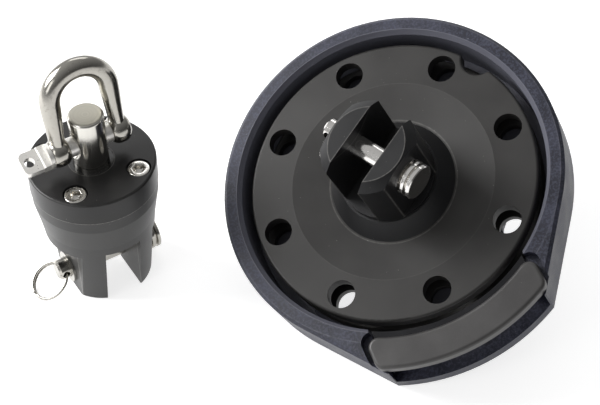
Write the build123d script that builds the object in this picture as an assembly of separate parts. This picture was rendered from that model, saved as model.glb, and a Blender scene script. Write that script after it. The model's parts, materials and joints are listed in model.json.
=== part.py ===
from build123d import *
import math
import os

# A roller furler set in millimetres: a furling drum unit and its loose top halyard swivel.
# Each unit is modelled upright in its own frame and then set down on the ground plane z = 0.
# Drum frame: z = 0 is the top face of the upper flange, and the line mouth faces -Y.
# Swivel frame: the stud's axis is Z, the fork pin lies along X, and the legs end at SWIVEL_TIP.

# Fork shared by both units
FORK_R = 21.1
FORK_GAP = 17.1
FLAT_SPAN = 35.0
PIN_R = 4.75
PIN_BORE_R = 4.80
PIN_TO_TIP = 10.0
CONE_BASE_R = 28.0
CONE_TOP_R = 22.0

# Clevis pin and its split ring
PIN_HEAD_R = 8.0
PIN_HEAD_LEN = 7.0
PIN_TAIL = 25.2
HEAD_GAP = 0.1
RING_HOLE_X = -22.3
RING_HOLE_R = 1.75
RING_R = 8.8
WIRE_R = 0.7
RING_OFFSET = 8.05
WASHER_R = 7.4
WASHER_T = 1.2

# Drum: flanges, spool and holes
FLANGE_R = 65.0
FLANGE_T = 6.0
DISH_R = 46.0
DISH_DEPTH = 2.0
HOLE_R = 6.3
HOLE_PCR = 55.7
HOLE_COUNT = 8
HOLE_PHASE = 12.0
NOTCH_R = 7.5
NOTCH_PCR = 66.8
SPOOL_R = 36.0
BOSS_R = 28.4
LOW_FLANGE_TOP = -14.8
LOW_FLANGE_BOT = -18.3
ROTOR_TURN = -60.0

# Drum fork heights
FORK_TOP = 44.5
FORK_TOP_CUT = 4.2
FORK_TOP_CUT_DEPTH = 3.5
TOP_PIN_Z = 31.2
TOP_PIN_TURN = -28.0
FORK_FLOOR = 10.0
FORK_LEDGE = 7.7
FORK_CONE_TOP = 6.3

# Housing
HOUSE_R = 77.0
HOUSE_TOP = 4.2
HOUSE_BOT = -23.0
BASE_TOP = -19.5
WALL_IN_R = 69.0
RIM_IN_R = 70.7
EDGE_CUT = 1.5
LIP_R = 87.6
LIP_HALF_ANGLE = 25.5
LIP_TOP = -15.0
MOUTH_HALF = 37.0
GUARD_HALF = 40.2
GUARD_IN_R = 72.6
GUARD_OUT_R = 86.8
GUARD_BOT = -0.5
GUARD_TOP = 4.8
STRIP_IN_R = 69.6
STRIP_TOP = 1.6
WINDOW_IN_R = 49.0
WINDOW_OUT_R = 66.5
WINDOW_FROM = 39.5
WINDOW_SPAN = 24.0
POST_X = 33.8
POST_Y = -70.5
POST_R = 4.2

# Axle and bearings
AXLE_R = 8.0
RACE_R = 19.0
WEB_R = 12.6
BALL_COUNT = 10
AXLE_FOOT = -31.0
LOW_CONE_END = -31.3
LOW_LEDGE = -32.7
LOW_FLOOR = -34.0

# How the drum unit lies: it leans until one straight side and the lower fork touch the ground
LEAN = 28.25
LEAN_AZIMUTH = -124.9
TIP_CUT = 1.0

# Swivel
CAP_R = 28.5
CAP_BOT = 55.7
CAP_TOP = 67.2
SWIVEL_R = 28.0
SWIVEL_TIP = -1.6
SWIVEL_FLOOR = 32.0
SWIVEL_LEDGE = 29.5
SWIVEL_WAIST_R = 25.8
SWIVEL_WAIST = 36.5
SWIVEL_CONE_TOP = 49.5
SWIVEL_PIN_PLAY = 1.1
CAVITY_R = 17.0
CAVITY_FLOOR = 45.5
STUD_R = 8.0
STUD_TOP = 94.4
SCREW_PCR = 21.7
SHACKLE_Z = 79.0
BAR_R = 4.6
SHACKLE_PIN_R = 4.4
THREAD_R = 3.9
EAR_X = 14.4
EAR_HALF = 3.9
EAR_R = 6.5
BOW_R = 13.7
BOW_RISE = 24.0
BOW_SWING = -9.0
TAB_TURN = 22.0
TAB_END = 32.0
TAB_HOLE_R = 2.3
SWIVEL_X = -131.5
SWIVEL_Y = 2.6
SWIVEL_HEADING = 30.6
SWIVEL_RING_SWING = 59.2

# How far each split ring is swung out from hanging straight down the pin's side
UPPER_RING_SWING = 2.0
LOWER_RING_SWING = 50.0

# How far a crowned side bows
CROWN = 0.12

ON_BASE = (Align.CENTER, Align.CENTER, Align.MIN)


def turned(points, crowned=()):
    """Solid of revolution about Z from a closed outline of (radius, height) points.

    The sides listed in crowned, counted by their first point, are bowed outward by a hair, as turned bevels are.
    """
    ends = points[1:] + points[:1]
    winding = sum(start[0] * end[1] - end[0] * start[1] for start, end in zip(points, ends))
    sides = []
    for index, (start, end) in enumerate(zip(points, ends)):
        if index in crowned:
            bow = math.copysign(CROWN / math.dist(start, end), winding)
            across = bow * (end[1] - start[1])
            along = bow * (end[0] - start[0])
            middle = ((start[0] + end[0]) / 2 + across, (start[1] + end[1]) / 2 - along)
            sides.append(Bezier(start, middle, end))
        else:
            sides.append(Line(start, end))
    return revolve(Plane.XZ * make_face(Curve() + sides), Axis.Z)


def rod(radius, low, high):
    return Pos(0, 0, low) * Cylinder(radius, high - low, align=ON_BASE)


def tube(inner, outer, low, high):
    return rod(outer, low, high) - rod(inner, low, high)


def around(count, radius, phase=0.0):
    """Evenly spaced places on a circle."""
    return PolarLocations(radius, count, phase).locations


def along_x(shape):
    """Turn a shape built about Z so that its axis runs along X."""
    return Rot(0, 90, 0) * shape


def fork_cuts(tip, floor, ledge, pin_z):
    """What is milled from a turned blank to make a fork: slot, two outer flats and the pin bore."""
    reach = 4 * FORK_R
    way = 1 if tip > floor else -1
    end = tip + way * 5
    slot = Pos(0, 0, (floor + end) / 2) * Box(FORK_GAP, reach, abs(end - floor))
    cuts = [slot]
    for side in (-1, 1):
        x = side * (FLAT_SPAN / 2 + FORK_R)
        cuts.append(Pos(x, 0, (ledge + end) / 2) * Box(2 * FORK_R, reach, abs(end - ledge)))
    cuts.append(Pos(0, 0, pin_z) * along_x(Cylinder(PIN_BORE_R, reach)))
    return cuts


def clevis_pin():
    """Headed pin along X with two grooves in its head and a cross hole for the split ring."""
    head = FLAT_SPAN / 2 + HEAD_GAP
    end = head + PIN_HEAD_LEN
    outline = [
        (0, -PIN_TAIL),
        (PIN_R - 1.0, -PIN_TAIL),
        (PIN_R, -PIN_TAIL + 1.0),
        (PIN_R, head),
        (PIN_HEAD_R, head),
        (PIN_HEAD_R, head + 1.0),
        (6.2, head + 1.4),
        (6.2, head + 2.2),
        (PIN_HEAD_R, head + 2.6),
        (PIN_HEAD_R, head + 3.9),
        (6.5, head + 4.2),
        (6.5, head + 5.1),
        (PIN_HEAD_R, head + 5.4),
        (PIN_HEAD_R, end - 0.4),
        (PIN_HEAD_R - 0.4, end),
        (0, end),
    ]
    hole = Pos(RING_HOLE_X, 0, 0) * Rot(90, 0, 0) * Cylinder(RING_HOLE_R, 4 * PIN_R)
    return along_x(turned(outline)) - hole


def pin_washer(play=0.0):
    """Plain washer on the pin's tail, against the fork's flat; play is how far the pin itself is pushed along X."""
    start = -(FLAT_SPAN / 2 + HEAD_GAP + WASHER_T) - play
    return along_x(tube(PIN_R + 0.2, WASHER_R, start, start + WASHER_T))


def split_ring(swing):
    """Two-turn wire ring through the pin's cross hole, swung out by an angle from hanging straight down."""
    wire = Circle(WIRE_R)
    section = Pos(RING_R, WIRE_R) * wire + Pos(RING_R, -WIRE_R) * wire
    section += Pos(RING_R, 0) * Rectangle(2 * WIRE_R * 0.86, 2 * WIRE_R)
    ring = revolve(Plane.XZ * section, Axis.Z)
    hanging = Pos(0, 0, -RING_OFFSET) * Rot(0, 90, 0) * ring
    return Pos(RING_HOLE_X, 0, 0) * Rot(0, swing, 0) * hanging


def ball_set(radius, pitch, height):
    balls = [place * Pos(0, 0, height) * Sphere(radius) for place in around(BALL_COUNT, pitch)]
    return Compound(children=balls)


def flat_cage(inner, outer, low, high, ball_r, pitch):
    """Flat cage ring with a round pocket for each ball."""
    cage = tube(inner, outer, low, high)
    for place in around(BALL_COUNT, pitch):
        cage -= place * rod(ball_r + 0.15, low - 1, high + 1)
    return cage


def band_cage(inner, outer, low, high, ball_r):
    """Upright cage band with a round pocket for each ball, bored from the axis outward."""
    cage = tube(inner, outer, low, high)
    for place in around(BALL_COUNT, 0):
        cage -= place * Pos(0, 0, (low + high) / 2) * along_x(rod(ball_r + 0.1, inner / 2, outer + 2))
    return cage


def race_groove(ball_r, pitch, height):
    """Torus that cuts the ball track into the races."""
    return Pos(0, 0, height) * Torus(pitch, ball_r + 0.02)


def socket_screw(shank_r, head_r, head_h, length, key_across):
    """Socket head cap screw standing on z = 0 under its head, with the shank pointing down."""
    screw = rod(head_r, 0, head_h) + rod(shank_r, -length, 0)
    screw = chamfer(screw.edges().group_by(Axis.Z)[-1], 0.4)
    key = extrude(Pos(0, 0, head_h - 2.6) * RegularPolygon(key_across / 2, 6, major_radius=False), 4)
    return screw - key


def countersunk_screw(shank_r, head_r, length):
    """Countersunk screw with its flat head at z = 0 and its shank pointing down."""
    rise = head_r - shank_r
    outline = [(0, 0), (head_r, 0), (shank_r, -rise), (shank_r, -length), (0, -length)]
    key = extrude(Pos(0, 0, -1.6) * RegularPolygon(shank_r * 0.65, 6, major_radius=False), 4)
    return turned(outline) - key


def upper_flange():
    """Flat drum flange with eight round holes, a rounded notch in its edge and a dished middle."""
    disc = Circle(FLANGE_R) - Rot(0, 0, 90) * Pos(NOTCH_PCR, 0) * Circle(NOTCH_R)
    lips = [v for v in disc.vertices() if v.Y > 0.5 * FLANGE_R]
    disc = fillet(lips, 2.0)
    outline = [
        (CONE_BASE_R, -FLANGE_T),
        (FLANGE_R + 5, -FLANGE_T),
        (FLANGE_R + 5, 0),
        (DISH_R, 0),
        (CONE_BASE_R, -DISH_DEPTH),
    ]
    plate = turned(outline) & extrude(Pos(0, 0, -FLANGE_T - 1) * disc, FLANGE_T + 2)
    level = [face for face in plate.faces() if abs(face.center().Z) < 0.01 and face.area > 1000][0]
    plate = fillet(level.outer_wire().edges(), 1.2)
    for place in around(HOLE_COUNT, HOLE_PCR, HOLE_PHASE):
        plate -= place * rod(HOLE_R, -2 * FLANGE_T, FLANGE_T)
    for place in around(6, 32.5, 30):
        plate -= place * rod(2.0, -FLANGE_T - 1, -2.6)
    return plate


def lower_flange():
    """Lower drum flange with holes in line with the upper ones and countersinks for its screws."""
    outline = [
        (BOSS_R, LOW_FLANGE_BOT),
        (FLANGE_R - 1, LOW_FLANGE_BOT),
        (FLANGE_R, LOW_FLANGE_BOT + 1),
        (FLANGE_R, LOW_FLANGE_TOP - 1),
        (FLANGE_R - 1, LOW_FLANGE_TOP),
        (BOSS_R, LOW_FLANGE_TOP),
    ]
    plate = turned(outline)
    for place in around(HOLE_COUNT, HOLE_PCR, HOLE_PHASE):
        plate -= place * rod(HOLE_R, LOW_FLANGE_BOT - 1, LOW_FLANGE_TOP + 1)
    for place in around(6, 32.5, 30):
        plate -= place * Pos(0, 0, LOW_FLANGE_BOT) * Rot(180, 0, 0) * screw_seat(2.0, 3.8)
    return plate


def screw_seat(shank_r, head_r):
    """Through hole with a countersink, its wide mouth at z = 0 and the hole going down."""
    rise = head_r - shank_r
    return turned([(0, 0.5), (head_r, 0.5), (head_r, 0), (shank_r, -rise), (shank_r, -40), (0, -40)])


def spool_core():
    """Barrel that the line winds on, bored for the bearings."""
    outline = [
        (RACE_R, LOW_FLANGE_BOT),
        (BOSS_R, LOW_FLANGE_BOT),
        (BOSS_R, LOW_FLANGE_TOP),
        (SPOOL_R + 1.5, LOW_FLANGE_TOP),
        (SPOOL_R, LOW_FLANGE_TOP + 1.5),
        (SPOOL_R, -FLANGE_T - 1.5),
        (SPOOL_R + 1.5, -FLANGE_T),
        (RACE_R, -FLANGE_T),
        (RACE_R, -8.0),
        (WEB_R, -8.0),
        (WEB_R, -11.0),
        (RACE_R, -11.0),
    ]
    core = turned(outline)
    for place in around(6, 32.5, 30):
        core -= place * rod(2.0, LOW_FLANGE_BOT - 1, 0)
    for place in around(6, 23.4, 0):
        core -= place * rod(2.5, LOW_FLANGE_BOT - 1, 0)
        core -= place * rod(4.3, LOW_FLANGE_BOT - 1, -13.0)
    return core


def drum_fork():
    """The drum's fork, parted where its flats end: the tangs above, and the flared foot below.

    The foot is hollow underneath for the axle nut and the thrust bearing.
    """
    outline = [
        (RACE_R, -FLANGE_T),
        (CONE_BASE_R, -FLANGE_T),
        (CONE_BASE_R, -DISH_DEPTH),
        (CONE_TOP_R, FORK_CONE_TOP),
        (FORK_R, FORK_CONE_TOP),
        (FORK_R, FORK_TOP - FORK_TOP_CUT_DEPTH),
        (FORK_R - FORK_TOP_CUT, FORK_TOP),
        (0, FORK_TOP),
        (0, 6.5),
        (15.5, 6.5),
        (15.5, -0.5),
        (RACE_R, -0.5),
    ]
    fork = turned(outline, crowned=(5,))
    for cut in fork_cuts(FORK_TOP, FORK_FLOOR, FORK_LEDGE, TOP_PIN_Z):
        fork -= cut
    for place in around(6, 23.4, 0):
        fork -= place * rod(2.5, -FLANGE_T - 1, -0.8)
    above = rod(2 * FORK_R, FORK_LEDGE, FORK_TOP + 1)
    return fork & above, fork - above


def mouth_outline(offset=0.0):
    """Plan of the housing: a round body whose straight sides run out to a wider line mouth facing -Y."""
    body_r = HOUSE_R - offset
    lip_r = LIP_R - offset
    spread = math.radians(LIP_HALF_ANGLE)
    wrap = math.acos(body_r / lip_r)
    right = -math.pi / 2 + spread
    left = -math.pi / 2 - spread
    start = right + wrap
    stop = left - wrap

    def at(radius, angle):
        return (radius * math.cos(angle), radius * math.sin(angle))

    arc = ThreePointArc(at(body_r, start), (0, body_r), at(body_r, stop))
    lip = ThreePointArc(at(lip_r, left), (0, -lip_r), at(lip_r, right))
    sides = [Line(at(body_r, stop), at(lip_r, left)), Line(at(lip_r, right), at(body_r, start))]
    return make_face(Curve() + [arc, sides[0], lip, sides[1]])


def guard_plan(grow=0.0, corner=4.5):
    """Plan of the guard: a band between two arcs, cut to a constant width, with rounded corners."""
    band = Circle(GUARD_OUT_R + grow) - Circle(GUARD_IN_R - grow)
    window = Pos(0, -(GUARD_IN_R + GUARD_OUT_R) / 2) * Rectangle(2 * (GUARD_HALF + grow), 60)
    plan = band & window
    return fillet(plan.vertices(), corner)


def base_window():
    """Plan of one window in the base: a sector of a ring with rounded corners, starting on the X axis."""
    span = math.radians(WINDOW_SPAN)
    reach = 2 * WINDOW_OUT_R
    wedge = make_face(Polyline((0, 0), (reach, 0), (reach * math.cos(span), reach * math.sin(span)), close=True))
    window = (Circle(WINDOW_OUT_R) - Circle(WINDOW_IN_R)) & wedge
    return fillet(window.vertices(), 4.0)


def drum_housing():
    """Open-topped housing with a raised rim, a line mouth between two shoulders and a base with windows."""
    shell = extrude(Pos(0, 0, HOUSE_BOT) * mouth_outline(), HOUSE_TOP - HOUSE_BOT)
    shell = chamfer(shell.faces().sort_by(Axis.Z)[-1].outer_wire().edges(), EDGE_CUT)
    shell = chamfer(shell.faces().sort_by(Axis.Z)[0].outer_wire().edges(), EDGE_CUT)
    hollow = [
        (0, BASE_TOP),
        (WALL_IN_R, BASE_TOP),
        (WALL_IN_R, HOUSE_TOP - 2.4),
        (RIM_IN_R, HOUSE_TOP),
        (RIM_IN_R, HOUSE_TOP + 5),
        (0, HOUSE_TOP + 5),
    ]
    shell -= turned(hollow, crowned=(2,))
    mouth_mid = -(WALL_IN_R + LIP_R) / 2
    mouth = Pos(0, mouth_mid, (LIP_TOP + HOUSE_TOP + 5) / 2)
    shell -= mouth * Box(2 * MOUTH_HALF, 50, HOUSE_TOP + 5 - LIP_TOP)
    shell -= extrude(Pos(0, 0, GUARD_BOT) * guard_plan(2.0), 20)
    for side in (-1, 1):
        shell += Pos(side * POST_X, POST_Y, 0) * rod(POST_R, BASE_TOP, GUARD_BOT)
        shell -= Pos(side * POST_X, POST_Y, HOUSE_BOT) * Rot(180, 0, 0) * screw_seat(2.0, 3.8)
    shell -= rod(AXLE_R, HOUSE_BOT - 1, BASE_TOP + 1)
    for place in around(6, 20.0, 30):
        shell -= place * Pos(0, 0, BASE_TOP) * screw_seat(2.5, 4.8)
    window = base_window()
    for start in (-90 + WINDOW_FROM, -90 - WINDOW_FROM - WINDOW_SPAN):
        shell -= extrude(Pos(0, 0, HOUSE_BOT - 1) * Rot(0, 0, start) * window, 6)
    return shell


def fairlead_guard():
    """Round-edged plate that closes the line mouth from above, with a low strip along its inner edge."""
    plate = extrude(Pos(0, 0, GUARD_BOT) * guard_plan(), GUARD_TOP - GUARD_BOT)
    plate = fillet(plate.faces().sort_by(Axis.Z)[-1].outer_wire().edges(), 1.6)
    strip = tube(STRIP_IN_R, GUARD_IN_R + 2, GUARD_BOT, STRIP_TOP)
    plate += strip & (Pos(0, -GUARD_IN_R, GUARD_BOT) * Box(2 * MOUTH_HALF - 2, 40, 4 * GUARD_TOP))
    for side in (-1, 1):
        plate -= Pos(side * POST_X, POST_Y, 0) * rod(2.0, GUARD_BOT - 1, GUARD_BOT + 3.2)
    return plate


def lower_fork(tip):
    """Fixed fork under the housing, its foot flared like the upper one and bored for the axle."""
    outline = [
        (AXLE_R, HOUSE_BOT),
        (CONE_BASE_R, HOUSE_BOT),
        (CONE_TOP_R, LOW_CONE_END),
        (FORK_R, LOW_CONE_END),
        (FORK_R, tip + TIP_CUT),
        (FORK_R - TIP_CUT, tip),
        (0, tip),
        (0, AXLE_FOOT),
        (AXLE_R, AXLE_FOOT),
    ]
    fork = turned(outline, crowned=(4,))
    for cut in fork_cuts(tip, LOW_FLOOR, LOW_LEDGE, tip + PIN_TO_TIP):
        fork -= cut
    for place in around(6, 20.0, 30 - low_turn()):
        fork -= place * rod(2.5, HOUSE_BOT - 8, HOUSE_BOT + 1)
    return fork


def side_angle():
    """Direction, in the drum frame, in which the housing's straight left side faces."""
    return -90 - LIP_HALF_ANGLE - math.degrees(math.acos(HOUSE_R / LIP_R))


def low_turn():
    """Turn of the lower fork about the axle, so that its slot faces the side the unit leans on."""
    return side_angle() + 90


def rest_height():
    """Height of the upper flange above the ground when the straight side's bottom edge touches it."""
    lean = math.radians(LEAN)
    return (HOUSE_R - EDGE_CUT) * math.sin(lean) - HOUSE_BOT * math.cos(lean)


def fork_tip():
    """Height of the lower fork's tip in the drum frame, so that it touches the ground as well."""
    lean = math.radians(LEAN)
    foot_r = math.sqrt((FORK_R - TIP_CUT) ** 2 - (FORK_GAP / 2) ** 2)
    return HOUSE_BOT - (HOUSE_R - EDGE_CUT - foot_r) * math.tan(lean)


def axle():
    """Fixed axle with the collar that clamps the housing's base onto the lower fork."""
    outline = [
        (0, AXLE_FOOT),
        (AXLE_R, AXLE_FOOT),
        (AXLE_R, BASE_TOP),
        (13.0, BASE_TOP),
        (13.0, -17.0),
        (AXLE_R, -17.0),
        (AXLE_R, 5.0),
        (AXLE_R - 0.8, 5.8),
        (0, 5.8),
    ]
    return turned(outline)


def axle_nut():
    nut = extrude(Pos(0, 0, -0.7) * RegularPolygon(12.0, 6, major_radius=False), 5.6)
    return nut - rod(AXLE_R, -2, 8)


def bar_along(curve):
    """Round bar swept along a curve drawn in the XZ plane."""
    path = Plane.XZ * curve
    return sweep(Plane(origin=path @ 0, z_dir=path % 0) * Circle(BAR_R), path=path)


def shackle_bow():
    """Bow bent from round bar, its ends forged into two rounded eyes for the pin."""
    reach = math.hypot(EAR_X, BOW_RISE)
    slant = math.atan2(BOW_RISE, EAR_X) + math.asin(BOW_R / reach)
    leg = math.sqrt(reach**2 - BOW_R**2)
    joint = (-EAR_X + leg * math.cos(slant), leg * math.sin(slant))
    crown = bar_along(ThreePointArc(joint, (0, BOW_RISE + BOW_R), (-joint[0], joint[1])))
    start = (-EAR_X + EAR_R * 0.75 * math.cos(slant), EAR_R * 0.75 * math.sin(slant))
    side = bar_along(Line(joint, start))
    eye = Pos(-EAR_X, 0, 0) * along_x(Cylinder(EAR_R, 2 * EAR_HALF))
    eye = fillet(eye.edges(), 2.2)
    bow = crown
    for half in (side + eye, (side + eye).mirror(Plane.YZ)):
        bow += half
    bow -= Pos(-EAR_X, 0, 0) * along_x(Cylinder(SHACKLE_PIN_R + 0.03, 20))
    return bow - Pos(EAR_X, 0, 0) * along_x(Cylinder(THREAD_R + 0.03, 20))


def shackle_pin():
    """Shackle pin: a thick shank, a thinner threaded end and a flat drilled tab for tightening it."""
    outer = EAR_X + EAR_HALF
    inner = EAR_X - EAR_HALF
    pin = along_x(rod(SHACKLE_PIN_R, -outer, inner) + rod(THREAD_R, inner, outer + 0.8))
    pin += along_x(rod(5.6, -outer - 1.8, -outer))
    root = -outer - 1.2
    tab = Pos((root - TAB_END) / 2, 0, 0) * Box(TAB_END + root, 10.6, 3.4)
    tab = fillet(tab.edges().filter_by(Axis.Z).group_by(Axis.X)[0], 2.6)
    shoulder = Pos(root - 1.6, 0, 0) * Box(4.8, 10.6, 5.0)
    tab += fillet(shoulder.edges().filter_by(Axis.Y), 0.8)
    tab -= Pos(3.7 - TAB_END, 0, 0) * Cylinder(TAB_HOLE_R, 10)
    return pin + Rot(TAB_TURN, 0, 0) * tab


def swivel_fork_body():
    """Swivel body: a cup for the bearing that narrows downward into a fork."""
    outline = [
        (0, SWIVEL_TIP),
        (FORK_R - TIP_CUT, SWIVEL_TIP),
        (FORK_R, SWIVEL_TIP + TIP_CUT),
        (SWIVEL_WAIST_R, SWIVEL_WAIST),
        (SWIVEL_R, SWIVEL_CONE_TOP),
        (SWIVEL_R, CAP_BOT),
        (CAVITY_R, CAP_BOT),
        (CAVITY_R, CAVITY_FLOOR),
        (0, CAVITY_FLOOR),
    ]
    body = turned(outline, crowned=(1, 2))
    for cut in fork_cuts(SWIVEL_TIP, SWIVEL_FLOOR, SWIVEL_LEDGE, SWIVEL_TIP + PIN_TO_TIP):
        body -= cut
    for place in around(4, SCREW_PCR, 45):
        body -= place * rod(3.0, 46.0, CAP_BOT + 1)
    return body


def swivel_cap():
    """Cap with four counterbored screws and a bored middle for the stud's bush and seal."""
    cap = rod(CAP_R, CAP_BOT, CAP_TOP)
    cap = fillet(cap.edges().group_by(Axis.Z)[-1], 1.0)
    cap -= rod(9.6, CAP_BOT - 1, 64.5)
    cap -= rod(10.1, 64.5, CAP_TOP + 1)
    for place in around(4, SCREW_PCR, 45):
        cap -= place * rod(3.0, CAP_BOT - 1, CAP_TOP)
        cap -= place * rod(5.5, CAP_TOP - 6.2, CAP_TOP + 1)
    return cap


def swivel_stud():
    """Polished stud with a wide foot held under the cap and a flared cross bore for the shackle pin."""
    outline = [
        (0, 47.0),
        (15.5, 47.0),
        (15.5, 50.6),
        (STUD_R, 50.6),
        (STUD_R, STUD_TOP),
        (0, STUD_TOP),
    ]
    stud = turned(outline)
    stud = fillet(stud.edges().group_by(Axis.Z)[-1], 1.5)
    stud -= Pos(0, 0, SHACKLE_Z) * along_x(Cylinder(SHACKLE_PIN_R + 0.06, 40))
    for way in (-90, 90):
        mouth = turned([(0, 5.4), (SHACKLE_PIN_R, 5.4), (SHACKLE_PIN_R + 2.2, 8.2), (0, 8.2)])
        stud -= Pos(0, 0, SHACKLE_Z) * Rot(0, way, 0) * mouth
    return stud


def build_drum_parts():
    """All pieces of the drum unit in the drum frame."""
    spin = Rot(0, 0, ROTOR_TURN)
    tip = fork_tip()
    low_spin = Rot(0, 0, low_turn())
    top_pin = spin * Pos(0, 0, TOP_PIN_Z) * Rot(TOP_PIN_TURN, 0, 0)
    low_pin = low_spin * Pos(0, 0, tip + PIN_TO_TIP)
    radial_track = race_groove(2.2, 13.5, -14.0)
    thrust_track = race_groove(2.25, 14.75, -4.35)
    tangs, foot = drum_fork()
    fork_screw = Rot(180, 0, 0) * socket_screw(2.5, 4.2, 4.6, 12.2, 4.0)
    parts = {
        "drum_housing": drum_housing(),
        "fairlead_guard": fairlead_guard(),
        "guard_screws": [
            Pos(side * POST_X, POST_Y, HOUSE_BOT) * Rot(180, 0, 0) * countersunk_screw(2.0, 3.8, 25.4)
            for side in (-1, 1)
        ],
        "lower_fork": low_spin * lower_fork(tip),
        "housing_screws": [
            place * Pos(0, 0, BASE_TOP) * countersunk_screw(2.5, 4.8, 10.5) for place in around(6, 20.0, 30)
        ],
        "axle": axle(),
        "radial_inner_race": tube(AXLE_R, 11.9, -17.0, -11.0) - radial_track,
        "bearing_spacer": tube(AXLE_R, 10.5, -11.0, -2.5),
        "thrust_shaft_washer": tube(AXLE_R, 17.5, -2.5, -0.7) - thrust_track,
        "axle_nut": axle_nut(),
        "upper_flange": spin * upper_flange(),
        "lower_flange": spin * lower_flange(),
        "spool_core": spin * spool_core(),
        "drum_fork": spin * tangs,
        "drum_fork_foot": spin * foot,
        "flange_screws": [
            spin * place * Pos(0, 0, LOW_FLANGE_BOT) * Rot(180, 0, 0) * countersunk_screw(2.0, 3.8, 15.4)
            for place in around(6, 32.5, 30)
        ],
        "fork_screws": [spin * place * Pos(0, 0, -13.0) * fork_screw for place in around(6, 23.4, 0)],
        "radial_outer_race": tube(15.1, RACE_R, -17.0, -11.0) - radial_track,
        "core_bush": tube(10.55, WEB_R, -11.0, -8.0),
        "thrust_core_washer": tube(WEB_R, 18.8, -8.0, -6.2) - thrust_track,
        "bearing_shield": tube(13.3, RACE_R, LOW_FLANGE_BOT, -17.0),
        "radial_balls": ball_set(2.2, 13.5, -14.0),
        "radial_cage": band_cage(12.5, 14.5, -16.7, -11.3, 2.2),
        "thrust_balls": ball_set(2.25, 14.75, -4.35),
        "thrust_cage": flat_cage(11.9, 17.6, -5.0, -3.7, 2.25, 14.75),
        "drum_fork_pin": top_pin * clevis_pin(),
        "drum_pin_washer": top_pin * pin_washer(),
        "drum_split_ring": top_pin * split_ring(UPPER_RING_SWING),
        "lower_fork_pin": low_pin * clevis_pin(),
        "lower_pin_washer": low_pin * pin_washer(),
        "lower_split_ring": low_pin * split_ring(LOWER_RING_SWING),
    }
    return parts


def build_swivel_parts():
    """All pieces of the top swivel in the swivel frame."""
    pin = Pos(SWIVEL_PIN_PLAY, 0, SWIVEL_TIP + PIN_TO_TIP)
    pivot = Pos(0, 0, SHACKLE_Z)
    track = race_groove(1.6, 12.0, 53.15)
    cap_screw = socket_screw(3.0, 5.0, 5.8, 14.5, 5.0)
    parts = {
        "swivel_fork_body": swivel_fork_body(),
        "swivel_cap": swivel_cap(),
        "cap_screws": [place * Pos(0, 0, CAP_TOP - 6.2) * cap_screw for place in around(4, SCREW_PCR, 45)],
        "cap_bush": tube(STUD_R + 0.05, 9.6, CAP_BOT, 64.5),
        "stud_seal": tube(STUD_R + 0.06, 10.1, 64.5, CAP_TOP - 0.3),
        "swivel_base_pad": rod(15.5, CAVITY_FLOOR, 46.95),
        "swivel_stud": swivel_stud(),
        "swivel_low_washer": tube(STUD_R, 15.5, 50.6, 52.2) - track,
        "swivel_top_washer": tube(9.0, 16.5, 54.1, CAP_BOT) - track,
        "swivel_balls": ball_set(1.6, 12.0, 53.15),
        "swivel_cage": flat_cage(9.6, 14.4, 52.5, 53.8, 1.6, 12.0),
        "shackle_bow": pivot * Rot(BOW_SWING, 0, 0) * shackle_bow(),
        "shackle_pin": pivot * shackle_pin(),
        "swivel_fork_pin": pin * clevis_pin(),
        "swivel_pin_washer": pin * pin_washer(SWIVEL_PIN_PLAY),
        "swivel_split_ring": pin * split_ring(SWIVEL_RING_SWING),
    }
    return parts


def grouped(shape):
    """One shape per node: a list of fasteners becomes one group of separate solids."""
    return Compound(children=list(shape)) if isinstance(shape, list) else shape


def main():
    drum_place = Pos(0, 0, rest_height()) * Rot(0, 0, LEAN_AZIMUTH) * Rot(0, LEAN, 0) * Rot(0, 0, -side_angle())
    swivel_place = Pos(SWIVEL_X, SWIVEL_Y, -SWIVEL_TIP) * Rot(0, 0, SWIVEL_HEADING)
    placed = {}
    for name, shape in build_drum_parts().items():
        placed[name] = drum_place * grouped(shape)
    for name, shape in build_swivel_parts().items():
        placed[name] = swivel_place * grouped(shape)
    boxes = [shape.bounding_box() for shape in placed.values()]
    mid_x = (min(box.min.X for box in boxes) + max(box.max.X for box in boxes)) / 2
    mid_y = (min(box.min.Y for box in boxes) + max(box.max.Y for box in boxes)) / 2
    centre = Pos(-mid_x, -mid_y, -min(box.min.Z for box in boxes))
    os.makedirs("parts", exist_ok=True)
    for name, shape in placed.items():
        export_step(centre * shape, f"parts/{name}.step")
    print("rest height", round(rest_height(), 3), "fork tip", round(fork_tip(), 3))
    print("shift", [round(value, 4) for value in centre.position])


main()
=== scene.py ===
import json
import math

import bpy
import numpy as np
from mathutils import Matrix, Vector

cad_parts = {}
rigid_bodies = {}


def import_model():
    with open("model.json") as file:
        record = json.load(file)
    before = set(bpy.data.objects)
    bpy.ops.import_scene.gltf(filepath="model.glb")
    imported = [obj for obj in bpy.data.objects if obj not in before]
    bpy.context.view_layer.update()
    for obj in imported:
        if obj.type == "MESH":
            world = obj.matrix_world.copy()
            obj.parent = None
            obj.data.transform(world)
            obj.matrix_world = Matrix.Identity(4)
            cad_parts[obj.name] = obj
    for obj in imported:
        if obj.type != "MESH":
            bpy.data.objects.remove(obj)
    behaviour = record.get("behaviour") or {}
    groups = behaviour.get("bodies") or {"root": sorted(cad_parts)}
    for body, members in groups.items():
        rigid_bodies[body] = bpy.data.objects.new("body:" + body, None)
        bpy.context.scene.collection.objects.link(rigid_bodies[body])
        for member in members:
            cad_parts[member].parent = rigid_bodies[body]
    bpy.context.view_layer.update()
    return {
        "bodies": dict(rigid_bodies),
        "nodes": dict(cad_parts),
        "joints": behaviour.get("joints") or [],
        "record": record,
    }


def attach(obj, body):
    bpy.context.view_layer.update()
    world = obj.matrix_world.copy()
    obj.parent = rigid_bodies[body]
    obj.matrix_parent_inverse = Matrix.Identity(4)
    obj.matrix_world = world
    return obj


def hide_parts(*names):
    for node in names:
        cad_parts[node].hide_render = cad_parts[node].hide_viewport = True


# Lengths are in millimetres, and MM turns them into metres, unless a comment says metres.
MM = 0.001

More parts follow.
